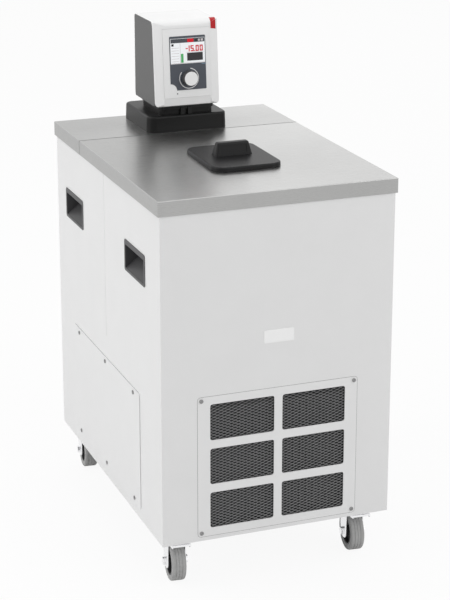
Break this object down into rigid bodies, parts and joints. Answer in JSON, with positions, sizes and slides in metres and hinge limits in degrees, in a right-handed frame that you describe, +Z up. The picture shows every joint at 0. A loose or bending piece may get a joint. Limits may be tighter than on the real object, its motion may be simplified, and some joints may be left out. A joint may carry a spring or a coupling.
{
  "type": "recirculating chiller",
  "caption": "Floor-standing refrigerated bath circulator with a leaning control head, stainless deck, lidded bath, front grille and swivel casters.",
  "frame": {"origin": "on the floor under the middle of the whole outline, trailing rear wheels included", "axes": "+X to the right when facing the grille, +Y from the grille to the rear, +Z up"},
  "size_m": [0.45, 0.6582, 0.9568],
  "materials": {
    "cabinet_paint": "semi-gloss light grey powder coat",
    "base_steel": "matte dark grey",
    "grille_paint": "semi-gloss light grey",
    "mesh_steel": "dark grey expanded sheet",
    "screw_zinc": "plain steel",
    "badge": "smooth white, blank",
    "cup_plastic": "fine-grained dark grey",
    "deck_steel": "brushed along the width",
    "tank_steel": "deep-drawn, satin",
    "foam": "cream rigid foam",
    "lid_black": "satin black moulding",
    "head_black": "satin black moulding",
    "head_white": "light grey-white moulding",
    "head_grey": "dark grey side plate",
    "panel_slate": "dark slate film",
    "display": "lit screen behind a clear window",
    "accent_red": "red insert",
    "knob_grey": "dark rim",
    "knob_white": "white cap",
    "bath_steel": "plain stainless tube and sheet",
    "motor_paint": "black enamel",
    "fin_aluminium": "thin fins with a black coating",
    "fan_plastic": "black moulding",
    "pipe_copper": "drawn tube",
    "inlet_black": "black moulding",
    "valve_brass": "nickel-free plain brass",
    "fork_zinc": "bright zinc",
    "hub_plastic": "dark grey moulding",
    "tyre_grey": "matte grey non-marking rubber"
  },
  "bodies": {
    "cabinet": {"base_tray": "base_steel", "front_panel": "cabinet_paint", "rear_panel": "cabinet_paint", "left_panel": "cabinet_paint", "right_panel": "cabinet_paint", "left_service_panel": "cabinet_paint", "right_service_panel": "cabinet_paint", "panel_screws": "screw_zinc", "grille_frame": "grille_paint", "grille_mesh": "mesh_steel", "badge_plate": "badge", "handle_cup_front_left": "cup_plastic", "handle_cup_rear_left": "cup_plastic", "handle_cup_front_right": "cup_plastic", "handle_cup_rear_right": "cup_plastic", "top_bridge": "deck_steel", "bath_tank": "tank_steel", "tank_insulation": "foam", "evaporator_coil": "bath_steel", "head_base": "head_black", "head_collar": "head_black", "head_shell": "head_white", "head_side_left": "head_grey", "head_side_right": "head_grey", "head_fascia": "head_white", "control_panel": "panel_slate", "display_window": "display", "accent_tab": "accent_red", "pump_carrier": "bath_steel", "pump_motor": "motor_paint", "pump_housing": "bath_steel", "immersion_heater": "bath_steel", "pump_ports": "bath_steel", "condenser": "fin_aluminium", "fan_shroud": "motor_paint", "compressor": "motor_paint", "refrigerant_lines": "pipe_copper", "mains_inlet": "inlet_black", "drain_valve": "valve_brass", "caster_plates": "fork_zinc"},
    "bath_cover": {"bath_cover": "deck_steel"},
    "access_lid": {"access_lid": "lid_black"},
    "encoder": {"encoder_shaft": "bath_steel"},
    "knob": {"knob": "knob_grey", "knob_cap": "knob_white"},
    "pump_rotor": {"pump_rotor": "bath_steel"},
    "fan_rotor": {"fan_rotor": "fan_plastic"},
    "drain_handle": {"drain_handle": "accent_red"},
    "caster_front_left": {"caster_fork_front_left": "fork_zinc"},
    "caster_front_right": {"caster_fork_front_right": "fork_zinc"},
    "caster_rear_left": {"caster_fork_rear_left": "fork_zinc"},
    "caster_rear_right": {"caster_fork_rear_right": "fork_zinc"},
    "wheel_front_left": {"caster_hub_front_left": "hub_plastic", "caster_tyre_front_left": "tyre_grey"},
    "wheel_front_right": {"caster_hub_front_right": "hub_plastic", "caster_tyre_front_right": "tyre_grey"},
    "wheel_rear_left": {"caster_hub_rear_left": "hub_plastic", "caster_tyre_rear_left": "tyre_grey"},
    "wheel_rear_right": {"caster_hub_rear_right": "hub_plastic", "caster_tyre_rear_right": "tyre_grey"}
  },
  "joints": [
    {"name": "bath_cover_lift", "type": "slide", "parent": "cabinet", "child": "bath_cover", "axis": [0, 0, 1], "range_m": [0, 0.08]},
    {"name": "access_lid_lift", "type": "slide", "parent": "bath_cover", "child": "access_lid", "axis": [0, 0, 1], "range_m": [0, 0.2]},
    {"name": "knob_press", "type": "slide", "parent": "cabinet", "child": "encoder", "axis": [0, 0.9966, -0.0824], "range_m": [0, 0.0008], "stiffness_N_per_m": 1500},
    {"name": "knob_turn", "type": "hinge", "parent": "encoder", "child": "knob", "pos_m": [0.0034, 0.14823, 0.84451], "axis": [0, -0.9966, 0.0824], "continuous": true},
    {"name": "pump_rotor_spin", "type": "hinge", "parent": "cabinet", "child": "pump_rotor", "pos_m": [0, 0.21291, 0.52], "axis": [0, 0, 1], "continuous": true},
    {"name": "fan_spin", "type": "hinge", "parent": "cabinet", "child": "fan_rotor", "pos_m": [0, -0.26909, 0.228], "axis": [0, 1, 0], "continuous": true},
    {"name": "drain_handle_turn", "type": "hinge", "parent": "cabinet", "child": "drain_handle", "pos_m": [-0.12, 0.28231, 0.39], "axis": [0, 0, 1], "range_deg": [0, 90]},
    {"name": "caster_front_left_swivel", "type": "hinge", "parent": "cabinet", "child": "caster_front_left", "pos_m": [-0.178, -0.28509, 0.09], "axis": [0, 0, 1], "continuous": true},
    {"name": "caster_front_left_wheel", "type": "hinge", "parent": "caster_front_left", "child": "wheel_front_left", "pos_m": [-0.17549, -0.26122, 0.0375], "axis": [0.9945, -0.1045, 0], "continuous": true},
    {"name": "caster_front_right_swivel", "type": "hinge", "parent": "cabinet", "child": "caster_front_right", "pos_m": [0.178, -0.28509, 0.09], "axis": [0, 0, 1], "continuous": true},
    {"name": "caster_front_right_wheel", "type": "hinge", "parent": "caster_front_right", "child": "wheel_front_right", "pos_m": [0.18051, -0.26122, 0.0375], "axis": [0.9945, -0.1045, 0], "continuous": true},
    {"name": "caster_rear_left_swivel", "type": "hinge", "parent": "cabinet", "child": "caster_rear_left", "pos_m": [-0.178, 0.26691, 0.09], "axis": [0, 0, 1], "continuous": true},
    {"name": "caster_rear_left_wheel", "type": "hinge", "parent": "caster_rear_left", "child": "wheel_rear_left", "pos_m": [-0.17549, 0.29078, 0.0375], "axis": [0.9945, -0.1045, 0], "continuous": true},
    {"name": "caster_rear_right_swivel", "type": "hinge", "parent": "cabinet", "child": "caster_rear_right", "pos_m": [0.178, 0.26691, 0.09], "axis": [0, 0, 1], "continuous": true},
    {"name": "caster_rear_right_wheel", "type": "hinge", "parent": "caster_rear_right", "child": "wheel_rear_right", "pos_m": [0.18051, 0.29078, 0.0375], "axis": [0.9945, -0.1045, 0], "continuous": true}
  ]
}
